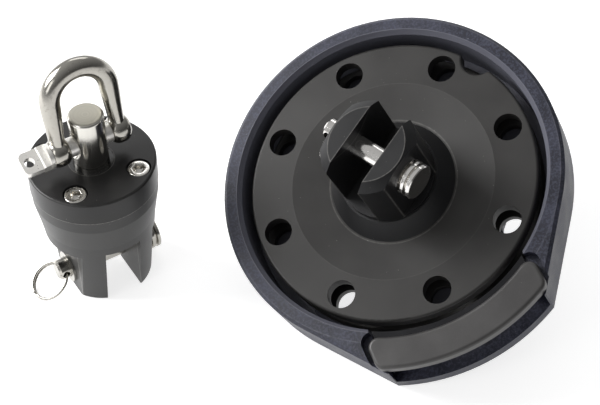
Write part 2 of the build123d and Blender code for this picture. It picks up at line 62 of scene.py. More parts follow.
# Where the two units stand, as in the part's source
DRUM_CENTRE = (42.331, 1.0265, 55.996)
LEAN = 28.25
LEAN_AZIMUTH = -124.9
SIDE_ANGLE = -143.979
ROTOR_TURN = -60.0
SWIVEL_CENTRE = (-89.169, 3.6265, 1.6)
SWIVEL_HEADING = 30.6

# Camera, measured from the drum's upper flange centre
CAMERA_FROM_DRUM = (-28.19, -588.42, 595.32)
CAMERA_RIGHT = (0.99979, 0.0, -0.02069)
CAMERA_UP = (0.01438, 0.71911, 0.69475)
CAMERA_LENS = 114.0
CAMERA_SENSOR = 36.0

# Clevis pins, seen along the forks
TOP_PIN_Z = 31.2
TOP_PIN_TURN = -28.0
LOW_PIN_Z = -43.793
SWIVEL_PIN_Z = 8.4
SWIVEL_PIN_PLAY = 1.1

# Split rings: the hole they hang in, their size, and their swing at rest in degrees
RING_HOLE_X = -22.3
RING_OFFSET = 8.05
RING_R = 8.8
WIRE_R = 0.7
TOP_RING_SWING = 2.0
LOW_RING_SWING = 50.0
SWIVEL_RING_SWING = 59.2

# The rings' winding, in turns: its length, where it climbs to the second layer, and a tip's taper.
# The last value is the share of the wire's radius that keeps the two layers apart.
RING_TURNS = 1.96
RING_CROSSOVER = (0.40, 0.60)
RING_TIP = 0.004
WIRE_SHARE = 0.98

# Forks
FORK_R = 21.1
FORK_GAP = 17.1
FLAT_SPAN = 35.0
FORK_TOP = 44.5
FORK_TOP_CUT = 4.2
FORK_TOP_CUT_DEPTH = 3.5
FORK_TIP = -53.793
SWIVEL_TIP = -1.6

# Drum and housing
FLANGE_R = 65.0
DISH_R = 46.0
CONE_BASE_R = 28.4
HOUSE_R = 77.0
HOUSE_TOP = 4.2
RIM_IN_R = 70.7
EDGE_CUT = 1.5

# Windows in the housing's base, in degrees to either side of a middle, and the ribs beside them
WINDOW_MIDDLE = -90.0
WINDOW_FROM = 39.5
WINDOW_SPAN = 24.0
RIB_OVERLAP = 0.5
RIB_IN_R = 60.4
RIB_OUT_R = 66.9
RIB_BOT = -22.8
RIB_TOP = -19.7
RIB_BEVEL = 0.4

# Low strip along the guard's inner edge, painted black as shade: the height and the radius over which it
# ends
STRIP_TOP = (1.6, 2.4)
STRIP_OUT_R = (74.0, 75.0)

# Swivel
CAP_R = 28.5
CAP_BOT = 55.7
CAP_TOP = 67.2
SEAL_BORE_R = 10.1
STUD_TOP = 94.4

# Cap screws, with heights measured from the head's face
SCREW_ANGLES = (45, 135, 225, 315)
SCREW_PCR = 21.7
SCREW_SINK = 0.4
HEAD_R = 5.0
HEAD_FOOT = -5.8
SHANK_R = 3.0
SHANK_END = -20.3
SOCKET_HALF_WIDTH = 2.5
SOCKET_FLOOR = -3.0

# Shackle
SHACKLE_Z = 79.0
SHACKLE_PIN_R = 4.4
THREAD_DEPTH = 0.45
BORE_PLAY = 0.03
BOW_R = 13.7
BOW_RISE = 24.0
BOW_SWING = -9.0
EAR_X = 14.4
EAR_HALF = 3.9
EAR_R = 6.5

# How the forging differs from the plain bow: the bar's half sizes at its ends and crown, where it starts
# and grows, and how far an eye swells along its bore and falls off at its ends
BAR_END_WIDTH = 3.45
BAR_END_DEPTH = 4.15
BAR_CROWN = 4.55
BAR_START = 4.6
BAR_GROWS_FROM = 4.0
BAR_GROWS_OVER = 22.0
EYE_SWELL = 0.3
EYE_FALL = 0.26

# Colours of aluminium wear with painted edge highlights, of navy wear with painted edge highlights and
# painted light, and of bright steel
ALUMINIUM_WEAR_AND_HIGHLIGHT = (0.34, 0.33, 0.31)
NAVY_WEAR_AND_PAINTED_LIGHT = (0.120, 0.122, 0.150)
BRIGHT_STEEL = (0.74, 0.725, 0.70)

# Sky: the direction it grows lighter in, how far along that direction it changes and from which grey to
# which, and the upward slant over which the white horizon fades
SKY_LEAN = (-0.55, 0.35, 0.35)
SKY_REACH = (-0.6, 0.8)
SKY_GREY = (0.07, 0.62)
HORIZON_FADE = (0.02, 0.16)
HORIZON_WHITE = (0.95, 0.95, 0.95)

# Table: its size in metres, its own colour and the glow that the camera sees
TABLE_SIZE = 8.0
TABLE_COLOUR = (0.62, 0.62, 0.62, 1.0)
TABLE_GLOW = (0.76, 0.76, 0.76)

# Lights: a name, a place in metres, a power in watts, and a width and height in metres
LIGHT_TARGET = (0.0, 0.0, 0.04)
LIGHTS = (
    ("left_softbox", (-0.62, 0.10, 0.46), 6.8, 0.40, 0.40),
    ("back_softbox", (-0.05, 0.95, 0.75), 1.4, 0.70, 0.35),
    ("front_softbox", (-0.60, -0.55, 0.50), 0.9, 0.30, 0.45),
)

# The nodes that wear each finish
NODES_BY_FINISH = {
    "navy": "drum_housing",
    "guard": "fairlead_guard",
    "flange": "upper_flange lower_flange spool_core bearing_spacer",
    "fork": "drum_fork drum_fork_foot",
    "low_fork": "lower_fork",
    "swivel": "swivel_fork_body",
    "cap": "swivel_cap",
    "drum_steel": "drum_fork_pin drum_pin_washer drum_split_ring",
    "low_steel": "lower_fork_pin lower_pin_washer lower_split_ring",
    "swivel_steel": "swivel_fork_pin swivel_pin_washer swivel_split_ring shackle_bow",
    "stud": "swivel_stud",
    "tab": "shackle_pin",
    "machined": "guard_screws housing_screws axle axle_nut flange_screws fork_screws radial_inner_race "
    "radial_outer_race thrust_shaft_washer thrust_core_washer radial_balls thrust_balls",
    "swivel_machined": "cap_screws swivel_low_washer swivel_top_washer swivel_balls",
    "plastic": "radial_cage thrust_cage swivel_cage core_bush cap_bush swivel_base_pad",
    "rubber": "stud_seal bearing_shield",
}


def turn_z(degrees):
    return Matrix.Rotation(math.radians(degrees), 4, "Z")


def turn_y(degrees):
    return Matrix.Rotation(math.radians(degrees), 4, "Y")


def turn_x(degrees):
    return Matrix.Rotation(math.radians(degrees), 4, "X")


def move(x, y, z):
    return Matrix.Translation((x, y, z))


DRUM_FRAME = move(*DRUM_CENTRE) @ turn_z(LEAN_AZIMUTH) @ turn_y(LEAN) @ turn_z(-SIDE_ANGLE)
ROTOR_FRAME = DRUM_FRAME @ turn_z(ROTOR_TURN)
LOW_FORK_FRAME = DRUM_FRAME @ turn_z(SIDE_ANGLE + 90)
SWIVEL_FRAME = move(*SWIVEL_CENTRE) @ turn_z(SWIVEL_HEADING)


class Value:
    """What varies over a surface, held as the socket of a node, so that a sum on it adds a Math node."""

    def __init__(self, shading, socket):
        self.shading = shading
        self.socket = socket

    def _join(self, operation, first, second):
        return self.shading.node("ShaderNodeMath", {"operation": operation}, {0: first, 1: second})

    def __add__(self, other):
        return self._join("ADD", self, other)

    def __radd__(self, other):
        return self._join("ADD", other, self)

    def __sub__(self, other):
        return self._join("SUBTRACT", self, other)

    def __rsub__(self, other):
        return self._join("SUBTRACT", other, self)

    def __mul__(self, other):
        return self._join("MULTIPLY", self, other)

    def __rmul__(self, other):
        return self._join("MULTIPLY", other, self)

    def __pow__(self, other):
        return self._join("POWER", self, other)

    def __rpow__(self, other):
        return self._join("POWER", other, self)

    def size(self):
        """The value without its sign."""
        return self.shading.node("ShaderNodeMath", {"operation": "ABSOLUTE"}, {0: self})

    def clamped(self):
        """The value held between 0 and 1."""
        return self.shading.node("ShaderNodeClamp", {}, {"Value": self})

    def step(self, kind, low, high, at_low, at_high):
        """A step from at_low to at_high as the value goes from low to high, straight or smooth by kind."""
        sockets = {"Value": self, "From Min": low, "From Max": high, "To Min": at_low, "To Max": at_high}
        return self.shading.node("ShaderNodeMapRange", {"interpolation_type": kind}, sockets)

    def slope(self, low, high, at_low, at_high):
        """A straight step."""
        return self.step("LINEAR", low, high, at_low, at_high)

    def band(self, low, high, at_low=0.0, at_high=1.0):
        """A smooth step."""
        return self.step("SMOOTHSTEP", low, high, at_low, at_high)

    def near(self, spot_mm, width_mm):
        """1 where the length is spot_mm, falling smoothly to 0 at width_mm to either side."""
        return (self - spot_mm * MM).size().band(0.0, width_mm * MM, 1.0, 0.0)

    def below(self, low_mm, high_mm):
        """1 where the length is under low_mm, falling smoothly to 0 at high_mm."""
        return self.band(low_mm * MM, high_mm * MM, 1.0, 0.0)


class Shading:
    """A node tree, with one method that adds any node to it."""

    def __init__(self, tree):
        self.tree = tree

    def node(self, kind, settings=None, sockets=None, output=0):
        """Adds a node of that kind: its settings first, then the values or links of its sockets."""
        made = self.tree.nodes.new(kind)
        for setting, value in (settings or {}).items():
            setattr(made, setting, value)
        for socket, value in (sockets or {}).items():
            if isinstance(value, Value):
                self.tree.links.new(value.socket, made.inputs[socket])
            else:
                made.inputs[socket].default_value = value
        return Value(self, made.outputs[output])

    def mix(self, factor, low, high):
        """A colour between low and high, each of which is a fixed colour or a varying one."""
        ends = [colour if isinstance(colour, Value) else (*colour, 1.0) for colour in (low, high)]
        sockets = {"Factor": factor, 6: ends[0], 7: ends[1]}
        return self.node("ShaderNodeMix", {"data_type": "RGBA"}, sockets, output=2)


class Finish(Shading):
    """A surface finish: one material with a Principled shader, and the patterns that feed it."""

    def __init__(self, name, frame=None, **fixed):
        self.material = bpy.data.materials.new(name)
        self.material.use_nodes = True
        super().__init__(self.material.node_tree)
        self.shader = self.tree.nodes["Principled BSDF"]
        for socket, value in fixed.items():
            self.shader.inputs[socket.replace("_", " ")].default_value = value
        place = self.node("ShaderNodeTexCoord", output="Object")
        if frame is not None:
            spot = frame.to_translation() * MM
            settings = {"vector_type": "TEXTURE"}
            sockets = {"Vector": place, "Location": spot, "Rotation": frame.to_euler()}
            place = self.node("ShaderNodeMapping", settings, sockets)
        self.place = place

    def feed(self, socket, value):
        """Links a varying value to a socket of the Principled shader."""
        self.tree.links.new(value.socket, self.shader.inputs[socket])

    def noise(self, size_mm, detail=3.0, stretch=None, rough=0.5):
        """Noise from 0 to 1 with grains about size_mm across, drawn out by stretch along X, Y and Z."""
        place = self.place
        if stretch is not None:
            scale = [1.0 / part for part in stretch]
            place = self.node("ShaderNodeMapping", {}, {"Vector": place, "Scale": scale})
        sockets = {"Vector": place, "Scale": 1.0 / (size_mm * MM), "Detail": detail, "Roughness": rough}
        return self.node("ShaderNodeTexNoise", {}, sockets)

    def along(self, axis):
        """Distance along the frame's X, Y or Z axis, in metres."""
        return self.node("ShaderNodeSeparateXYZ", {}, {"Vector": self.place}, output="XYZ".index(axis))

    def radius(self):
        """Distance from the frame's Z axis, in metres."""
        across = self.along("X")
        deep = self.along("Y")
        return (across * across + deep * deep) ** 0.5

    def specks(self, size_mm, share):
        """Small separate specks, such as dust or nicks: 1 inside a few of the grains of a fine noise."""
        return self.noise(size_mm, 1.0).band(1.0 - share, 1.02 - share)

    def turning_marks(self, pitch_mm, detail=2.0):
        """Fine rings about the frame's axis, as a lathe leaves them, from noise on radius and height."""
        at = self.node("ShaderNodeCombineXYZ", {}, {0: self.radius(), 1: self.along("Z"), 2: 0.0})
        sockets = {"Vector": at, "Scale": 1.0 / (pitch_mm * MM), "Detail": detail}
        return self.node("ShaderNodeTexNoise", {}, sockets)

    def relief(self, heights, depth_mm):
        """Bumps of a real depth in millimetres from a value between 0 and 1."""
        sockets = {"Height": heights, "Distance": depth_mm * MM, "Strength": 1.0}
        self.feed("Normal", self.node("ShaderNodeBump", {}, sockets))


def moulded_navy(name, frame):
    """Navy-black moulded body: even grain, cloudy gloss, rims made pale by wear and painted edge highlights,
    a few light nicks, and the inner wall painted paler as painted light.
    """
    finish = Finish(name, frame, IOR=1.47)
    grain = finish.noise(0.7, 2.0)
    cloud = finish.noise(14.0, 3.0)
    fleck = finish.noise(1.1, 2.0, rough=0.6).band(0.44, 0.62)
    radius = finish.radius()
    height = finish.along("Z")
    top = height.near(HOUSE_TOP, 0.45)
    bevel_foot = height.near(HOUSE_TOP - EDGE_CUT, 0.5) * radius.near(HOUSE_R, 0.5)
    # The rims are lightened for wear and as painted edge highlights.
    rims = top * radius.near(HOUSE_R - EDGE_CUT, 0.5) + bevel_foot + top * radius.near(RIM_IN_R, 0.45)
    rim_wear_and_highlight = rims * finish.noise(3.0, 3.0).band(0.35, 0.65, 0.35, 1.0)
    tone = (cloud.band(0.3, 0.7, 0.0, 0.45) + fleck * 0.55).clamped()
    body = finish.mix(tone, (0.0080, 0.0090, 0.0190), (0.0480, 0.0510, 0.0820))
    # The inner wall below the rim is painted paler: painted light where the gap beside the flange gets
    # little light.
    painted_light_inside = radius.below(RIM_IN_R, RIM_IN_R + 0.3) * 0.90
    wear_and_painted_light = (rim_wear_and_highlight * 0.5 + finish.specks(1.3, 0.22) * 0.8 + painted_light_inside).clamped()
    finish.feed("Base Color", finish.mix(wear_and_painted_light, body, NAVY_WEAR_AND_PAINTED_LIGHT))
    finish.feed("Roughness", cloud.band(0.3, 0.7, 0.40, 0.52) + fleck * 0.06)
    finish.relief(grain, 0.14)
    return finish.material


def dark_guard(name, frame):
    """Guard plate: blasted dark aluminium, with the low strip along its inner edge glossy and painted black
    as shade.
    """
    finish = Finish(name, frame, Metallic=0.3, IOR=1.5)
    pits = finish.noise(0.16, 2.0)
    cloud = finish.noise(18.0, 4.0)
    # The low strip inside the guard's edge is painted near-black: painted shade in the recess between flange
    # and guard.
    shaded_strip = finish.along("Z").below(*STRIP_TOP) * finish.radius().below(*STRIP_OUT_R)
    tone = (cloud.band(0.25, 0.75, 0.0, 0.8) + finish.noise(1.1, 3.0).band(0.55, 0.75) * 0.2).clamped()
    plate = finish.mix(tone, (0.052, 0.050, 0.050), (0.074, 0.072, 0.071))
    nicked = finish.mix(finish.specks(0.8, 0.20) * 0.5, plate, ALUMINIUM_WEAR_AND_HIGHLIGHT)
    finish.feed("Base Color", finish.mix(shaded_strip, nicked, (0.006, 0.006, 0.008)))
    finish.feed("Roughness", cloud.band(0.3, 0.7, 0.38, 0.46) - shaded_strip * 0.18)
    finish.relief(pits, 0.012)
    return finish.material


def dark_anodised(name, frame, dark, light, edges, rough=0.40, lathe=0.25, edge_light=0.5):
    """Bead-blasted and anodised aluminium: fine pits over faint lathe rings, with edges made pale by wear
    and painted highlights.

    The function edges gets the finish and returns a value that is 1 along the part's edges, which get wear
    and painted highlights.
    """
    finish = Finish(name, frame, Metallic=0.3, IOR=1.45)
    pits = finish.noise(0.16, 2.0)
    rings = finish.turning_marks(0.35)
    cloud = finish.noise(22.0, 4.0)
    smear = finish.noise(2.4, 4.0, rough=0.65).band(0.62, 0.75)
    tone = (cloud.band(0.25, 0.75, 0.0, 0.55) + rings * 0.25 + smear * 0.2).clamped()
    body = finish.mix(tone, dark, light)
    # Edges are lightened in patches for wear and as painted edge highlights.
    patchy_edges = finish.noise(1.6, 3.0).band(0.30, 0.60, 0.45, 1.0)
    wear_and_painted_light = (finish.specks(0.8, 0.20) * 0.6 + edges(finish) * patchy_edges * edge_light).clamped()
    finish.feed("Base Color", finish.mix(wear_and_painted_light, body, ALUMINIUM_WEAR_AND_HIGHLIGHT))
    finish.feed("Roughness", cloud.band(0.3, 0.7, rough - 0.03, rough + 0.05) - smear * 0.05)
    finish.relief(pits * (1.0 - lathe) + rings * lathe, 0.012)
    return finish.material


def fork_edges(finish, tip, cut=0.0, depth=1.0):
    """Edges of a fork, for wear and painted highlights: wherever two of its faces come close, their nearness
    sums to more than one.

    The bevel round the tip is cut wide and depth deep, both in millimetres.
    """
    across = finish.along("X").size()
    radius = finish.radius()
    height = finish.along("Z")
    bevel = (height - tip * MM).size() + (radius - (FORK_R - cut) * MM) * (depth / max(cut, 0.1))
    faces = across.near(FORK_GAP / 2, 0.55) + across.near(FLAT_SPAN / 2, 0.45) + radius.near(FORK_R, 0.45)
    faces = faces + height.near(tip, 0.45) + bevel.near(0.0, 0.45)
    return (faces - 1.0).clamped()


def top_fork_edges(finish):
    """Edges of the drum's top fork, for wear and painted highlights; its tip is bevelled."""
    return fork_edges(finish, FORK_TOP, FORK_TOP_CUT, FORK_TOP_CUT_DEPTH)


def low_fork_edges(finish):
    """Edges of the lower fork, for wear and painted highlights."""
    return fork_edges(finish, FORK_TIP)


def flange_edges(finish):
    """Edges of a flange, for wear and painted highlights: its rim, the foot of the raised cone and, faintly,
    the edge of the dish.
    """
    radius = finish.radius()
    rim = radius.near(FLANGE_R, 0.5) * finish.along("Z").near(0.0, 0.4)
    return rim + radius.near(CONE_BASE_R + 0.5, 0.5) * 0.45 + radius.near(DISH_R, 0.35) * 0.12


def body_edges(finish):
    """Edges of the swivel body: the legs' edges for wear and painted highlights, and a painted highlight
    line along the joint under the cap.
    """
    return fork_edges(finish, SWIVEL_TIP) + finish.along("Z").near(CAP_BOT - 0.1, 0.5) * 1.6


def cap_edges(finish):
    """Painted highlights on the cap's edges, with some wear: its top rim, the rim of the seal's bore and the
    joint below.
    """
    height = finish.along("Z")
    radius = finish.radius()
    rim = (radius.near(CAP_R, 0.6) * 0.5 + radius.near(SEAL_BORE_R, 0.4) * 0.7) * height.near(CAP_TOP, 0.6)
    return rim + height.near(CAP_BOT, 0.3) * 1.6


def polished_steel(name, frame, rough=0.10, light=BRIGHT_STEEL):
    """Tumble-polished stainless steel: soft scratches, faint waviness and small dull spots."""
    finish = Finish(name, frame, Metallic=1.0)
    scratch = finish.noise(0.35, 3.0)
    wave = finish.noise(5.0, 2.0)
    spot = finish.noise(1.6, 3.0, rough=0.6).band(0.55, 0.72)
    dull = tuple(part * 0.72 for part in light)
    finish.feed("Base Color", finish.mix((spot * 0.6 + wave * 0.25).clamped(), light, dull))
    finish.feed("Roughness", rough + spot * 0.10 + scratch.band(0.45, 0.7) * 0.08)
    finish.relief(scratch * 0.3 + wave * 0.7, 0.03)
    return finish.material


def turned_steel(name, frame):
    """Stud steel: a smooth side with tall soft streaks and an end face with rings from the lathe, painted
    darker than the side as shade.
    """
    finish = Finish(name, frame, Metallic=1.0)
    top = finish.along("Z").near(STUD_TOP, 0.5)
    rings = finish.turning_marks(0.55, 1.0)
    streak = finish.noise(1.1, 3.0, stretch=(1.0, 1.0, 14.0))
    tone = rings * top + streak * (1.0 - top)
    # The end face gets a darker copy of the steel's colour than the side: painted shade on the face that
    # catches the light from above.
    end = finish.mix(tone, (0.40, 0.385, 0.335), (0.52, 0.50, 0.435))
    side = finish.mix(tone, (0.56, 0.545, 0.505), (0.66, 0.645, 0.605))
    finish.feed("Base Color", finish.mix(top, side, end))
    finish.feed("Roughness", 0.12 + top * 0.32 + streak * 0.08)
    finish.relief(rings * top + streak * (1.0 - top) * 0.35, 0.012)
    return finish.material


def cast_steel(name, frame):
    """Bare cast tab of the shackle pin: bright and satin, slightly lumpy."""
    finish = Finish(name, frame, Metallic=0.6)
    lump = finish.noise(1.4, 4.0, rough=0.6)
    pit = finish.noise(0.25, 3.0)
    finish.feed("Base Color", finish.mix(lump, (0.92, 0.90, 0.86), (0.74, 0.725, 0.69)))
    finish.feed("Roughness", lump.band(0.3, 0.7, 0.26, 0.42))
    finish.relief(lump * 0.7 + pit * 0.3, 0.06)
    return finish.material


def machined_steel(name, frame):
    """Machined stainless steel with fine turning rings."""
    finish = Finish(name, frame, Metallic=1.0)
    rings = finish.turning_marks(0.25)
    wave = finish.noise(3.0, 3.0)
    finish.feed("Base Color", finish.mix(wave, (0.60, 0.59, 0.565), (0.76, 0.745, 0.71)))
    finish.feed("Roughness", 0.24 + rings * 0.12)
    finish.relief(rings, 0.006)
    return finish.material


def bearing_plastic(name, frame):
    """Natural off-white acetal with a faint mottle."""
    finish = Finish(name, frame, IOR=1.48)
    mottle = finish.noise(2.5, 3.0)
    finish.feed("Base Color", finish.mix(mottle, (0.70, 0.68, 0.62), (0.80, 0.78, 0.72)))
    finish.feed("Roughness", mottle.band(0.2, 0.8, 0.35, 0.5))
    finish.relief(finish.noise(0.3, 2.0), 0.01)
    return finish.material


def seal_rubber(name, frame):
    """Black seal rubber, oiled and shiny, with a slight grain."""
    finish = Finish(name, frame, IOR=1.5)
    grain = finish.noise(0.7, 4.0, rough=0.6)
    finish.feed("Base Color", finish.mix(grain, (0.006, 0.006, 0.006), (0.016, 0.016, 0.016)))
    finish.feed("Roughness", grain.band(0.3, 0.7, 0.14, 0.30))
    finish.relief(grain, 0.01)
    return finish.material


def drum_anodised():
    """The dark metals of the drum unit: its guard, its flanges and its two forks."""
    flange = dark_anodised(
        "flange_anodised",
        ROTOR_FRAME,
        dark=(0.0300, 0.0290, 0.0282),
        light=(0.0460, 0.0445, 0.0430),
        edges=flange_edges,
        rough=0.46,
        lathe=0.03,
    )
    fork = dark_anodised(
        "fork_anodised",
        ROTOR_FRAME,
        dark=(0.010, 0.010, 0.011),
        light=(0.021, 0.021, 0.022),
        edges=top_fork_edges,
        edge_light=0.3,
    )
    low_fork = dark_anodised(
        "low_fork_anodised",
        LOW_FORK_FRAME,
        dark=(0.013, 0.013, 0.014),
        light=(0.026, 0.026, 0.027),
        edges=low_fork_edges,
    )
    guard = dark_guard("guard_anodised", DRUM_FRAME)
    return {"flange": flange, "fork": fork, "low_fork": low_fork, "guard": guard}


def swivel_anodised():
    """The dark metals of the swivel: its body and its cap."""
    body = dark_anodised(
        "swivel_anodised",
        SWIVEL_FRAME,
        dark=(0.038, 0.038, 0.038),
        light=(0.057, 0.056, 0.055),
        edges=body_edges,
    )
    cap = dark_anodised(
        "cap_anodised",
        SWIVEL_FRAME,
        dark=(0.015, 0.015, 0.015),
        light=(0.028, 0.027, 0.027),
        edges=cap_edges,
        rough=0.34,
    )
    return {"swivel": body, "cap": cap}


def steels():
    """The stainless steels: polished, turned, cast and machined."""
    return {
        "drum_steel": polished_steel("drum_polished", ROTOR_FRAME),
        "low_steel": polished_steel("low_polished", LOW_FORK_FRAME),
        "swivel_steel": polished_steel("swivel_polished", SWIVEL_FRAME, 0.16, (0.46, 0.445, 0.41)),
        "screw_steel": polished_steel("screw_polished", SWIVEL_FRAME, 0.15, (0.72, 0.70, 0.66)),
        "bow_steel": polished_steel("bow_polished", SWIVEL_FRAME, 0.15, (0.41, 0.395, 0.36)),
        "stud": turned_steel("stud_turned", SWIVEL_FRAME),
        "tab": cast_steel("tab_cast", SWIVEL_FRAME),
        "machined": machined_steel("screw_steel", DRUM_FRAME),
        "swivel_machined": machined_steel("swivel_screw_steel", SWIVEL_FRAME),
    }


def plastics():
    """The moulded housing's navy, the bearings' acetal and the seals' rubber."""
    return {
        "navy": moulded_navy("moulded_navy", DRUM_FRAME),
        "plastic": bearing_plastic("natural_acetal", DRUM_FRAME),
        "rubber": seal_rubber("seal_rubber", SWIVEL_FRAME),
    }


def dress_nodes(nodes, finishes):
    """Gives each carried-over node its finish."""
    for finish, names in NODES_BY_FINISH.items():
        for name in names.split():
            nodes[name].data.materials.clear()
            nodes[name].data.materials.append(finishes[finish])


def sheet_piece(name, points, body, material, wrap_u=False, wrap_v=False, flip=False):
    """Makes one piece from a grid of points (rows, columns, 3) in millimetres, wrapped round where said."""
    rows, columns = points.shape[:2]
    index = np.arange(rows * columns).reshape(rows, columns)
    if wrap_u:
        index = np.vstack([index, index[:1]])
    if wrap_v:
        index = np.hstack([index, index[:, :1]])
    corners = [index[:-1, :-1], index[1:, :-1], index[1:, 1:], index[:-1, 1:]]
    faces = np.stack([corner.ravel() for corner in corners], axis=1)
    if flip:
        faces = faces[:, ::-1]
    mesh = bpy.data.meshes.new(name)
    mesh.from_pydata((points.reshape(-1, 3) * MM).tolist(), [], faces.tolist())
    mesh.shade_smooth()
    mesh.materials.append(material)
    piece = bpy.data.objects.new(name, mesh)
    bpy.context.scene.collection.objects.link(piece)
    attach(piece, body)
    return piece


def placed(points, frame):
    """Points of a local frame moved to the object's frame."""
    turn = np.array(frame.to_3x3())
    return points @ turn.T + np.array(frame.to_translation())


def directions(path):
    """Unit direction of travel at each point of a path."""
    tangent = np.gradient(path, axis=0)
    return tangent / np.linalg.norm(tangent, axis=1, keepdims=True)


def turned_about_z(radius, height, turn):
    """Grid of points at each radius and height, with one row for each angle of turn."""
    height = np.broadcast_to(height, radius.shape)
    return np.stack([radius * np.cos(turn)[:, None], radius * np.sin(turn)[:, None], height], axis=2)


def wire_along(path, radius, sides=14):
    """Round wire carried along a path: at each point a circle square to the path's direction.

    The circle's first axis is the direction crossed with the vertical, so it never twists.
    """
    tangent = directions(path)
    first = np.cross(tangent, (0.0, 0.0, 1.0))
    first /= np.linalg.norm(first, axis=1, keepdims=True)
    second = np.cross(tangent, first)
    angle = np.linspace(0, 2 * np.pi, sides, endpoint=False)
    ring = np.cos(angle)[None, :, None] * first[:, None] + np.sin(angle)[None, :, None] * second[:, None]
    return path[:, None] + radius[:, None, None] * ring


def split_ring(name, node, body, pin_frame, swing, material):
    """Split ring: a wire that winds nearly two turns in a flat coil.

    Its height climbs by the wire's thickness over a short crossover in the first turn, and is level
    elsewhere. At both ends the wire thins with the square root of the distance to its tip.
    """
    turn = np.linspace(0.0, RING_TURNS, 300)
    start, end = RING_CROSSOVER
    climb = np.clip((turn - start) / (end - start), 0, 1)
    height = (climb - 0.5) * 2 * WIRE_R
    angle = 2 * np.pi * turn
    path = np.stack([RING_R * np.cos(angle), RING_R * np.sin(angle), height], axis=1)
    to_tip = np.minimum(turn, RING_TURNS - turn)
    radius = WIRE_SHARE * WIRE_R * np.clip(to_tip / RING_TIP, 0.05, 1.0) ** 0.5
    frame = pin_frame @ move(RING_HOLE_X, 0, 0) @ turn_y(swing) @ move(0, 0, -RING_OFFSET) @ turn_y(90)
    points = placed(wire_along(path, radius), frame)
    piece = sheet_piece(name, points, body, material, wrap_v=True)
    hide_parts(node)


def split_rings(finishes):
    """The three split rings, each in the hole of its clevis pin."""
    upper_pin = ROTOR_FRAME @ move(0, 0, TOP_PIN_Z) @ turn_x(TOP_PIN_TURN)
    lower_pin = LOW_FORK_FRAME @ move(0, 0, LOW_PIN_Z)
    swivel_pin = SWIVEL_FRAME @ move(SWIVEL_PIN_PLAY, 0, SWIVEL_PIN_Z)
    upper_steel = finishes["drum_steel"]
    lower_steel = finishes["low_steel"]
    steel = finishes["swivel_steel"]
    split_ring("upper_ring_coil", "drum_split_ring", "upper_ring", upper_pin, TOP_RING_SWING, upper_steel)
    split_ring("lower_ring_coil", "lower_split_ring", "lower_ring", lower_pin, LOW_RING_SWING, lower_steel)
    split_ring("swivel_ring_coil", "swivel_split_ring", "swivel_ring", swivel_pin, SWIVEL_RING_SWING, steel)


def bow_line():
    """Middle line of the bow in its own plane: up the left leg, round the crown and down the right leg.

    The legs are straight, from near the eyes to where they touch the crown's arc.
    """
    slant = math.atan2(BOW_RISE, EAR_X) + math.asin(BOW_R / math.hypot(EAR_X, BOW_RISE))
    leg = math.sqrt(EAR_X**2 + BOW_RISE**2 - BOW_R**2)
    way = np.linspace(BAR_START, leg, 40)
    left = np.stack([-EAR_X + way * math.cos(slant), way * math.sin(slant)], axis=1)
    sweep = np.linspace(slant + math.pi / 2, math.pi / 2 - slant, 90)[1:-1]
    crown = np.stack([BOW_R * np.cos(sweep), BOW_RISE + BOW_R * np.sin(sweep)], axis=1)
    return np.vstack([left, crown, left[::-1] * (-1, 1)])


def bow_bar(frame, material):
    """Bar of the bow, carried along its middle line: its section is an ellipse square to the line.

    The half width in the bow's plane and the half depth both grow from the eyes to the crown, by a
    smooth step of the height above the pin.
    """
    line = bow_line()
    path = np.stack([line[:, 0], np.zeros(len(line)), line[:, 1]], axis=1)
    grown = np.clip((line[:, 1] - BAR_GROWS_FROM) / BAR_GROWS_OVER, 0, 1)
    grown = grown * grown * (3 - 2 * grown)
    width = BAR_END_WIDTH + (BAR_CROWN - BAR_END_WIDTH) * grown
    depth = BAR_END_DEPTH + (BAR_CROWN - BAR_END_DEPTH) * grown
    square = np.array((0.0, 1.0, 0.0))
    inward = np.cross(directions(path), square)
    angle = np.linspace(0, 2 * np.pi, 48, endpoint=False)
    across = (width[:, None] * np.cos(angle))[:, :, None] * inward[:, None]
    deep = (depth[:, None] * np.sin(angle))[:, :, None] * square
    points = placed(path[:, None] + across + deep, frame)
    piece = sheet_piece("bow_bar", points, "shackle", material, wrap_v=True)
    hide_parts("shackle_bow")


def bow_eye(name, frame, middle, bore, material):
    """Forged eye turned about X: its outside radius falls with the third power of the way to its ends.

    The section runs along the outside, down one end, back through the bore and up the other end.
    """
    bore = bore + BORE_PLAY
    out = np.linspace(-1, 1, 25)
    back = out[::-1][1:]
    belly = EAR_R * (1 - EYE_FALL * np.abs(out) ** 3)
    end = np.linspace(belly[-1], bore, 5)[1:]
    spot = np.concatenate([out, np.ones(len(end)), back, -np.ones(len(end) - 1)])
    radius = np.concatenate([belly, end, np.full(len(back), bore), end[::-1][1:]])
    angle = np.linspace(0, 2 * np.pi, 64, endpoint=False)
    x = np.broadcast_to(middle + spot * (EAR_HALF + EYE_SWELL), (len(angle), len(spot)))
    points = np.stack([x, np.cos(angle)[:, None] * radius, np.sin(angle)[:, None] * radius], axis=2)
    points = placed(points, frame)
    piece = sheet_piece(name, points, "shackle", material, wrap_u=True, wrap_v=True)
    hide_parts("shackle_bow")


def forged_bow(material):
    """Shackle bow: a forged bar with an eye on each end. The right eye's bore is smaller, for the thread."""
    frame = SWIVEL_FRAME @ move(0, 0, SHACKLE_Z) @ turn_x(BOW_SWING)
    bow_bar(frame, material)
    bow_eye("bow_eye_left", frame, -EAR_X, SHACKLE_PIN_R, material)
    bow_eye("bow_eye_right", frame, EAR_X, SHACKLE_PIN_R - THREAD_DEPTH, material)


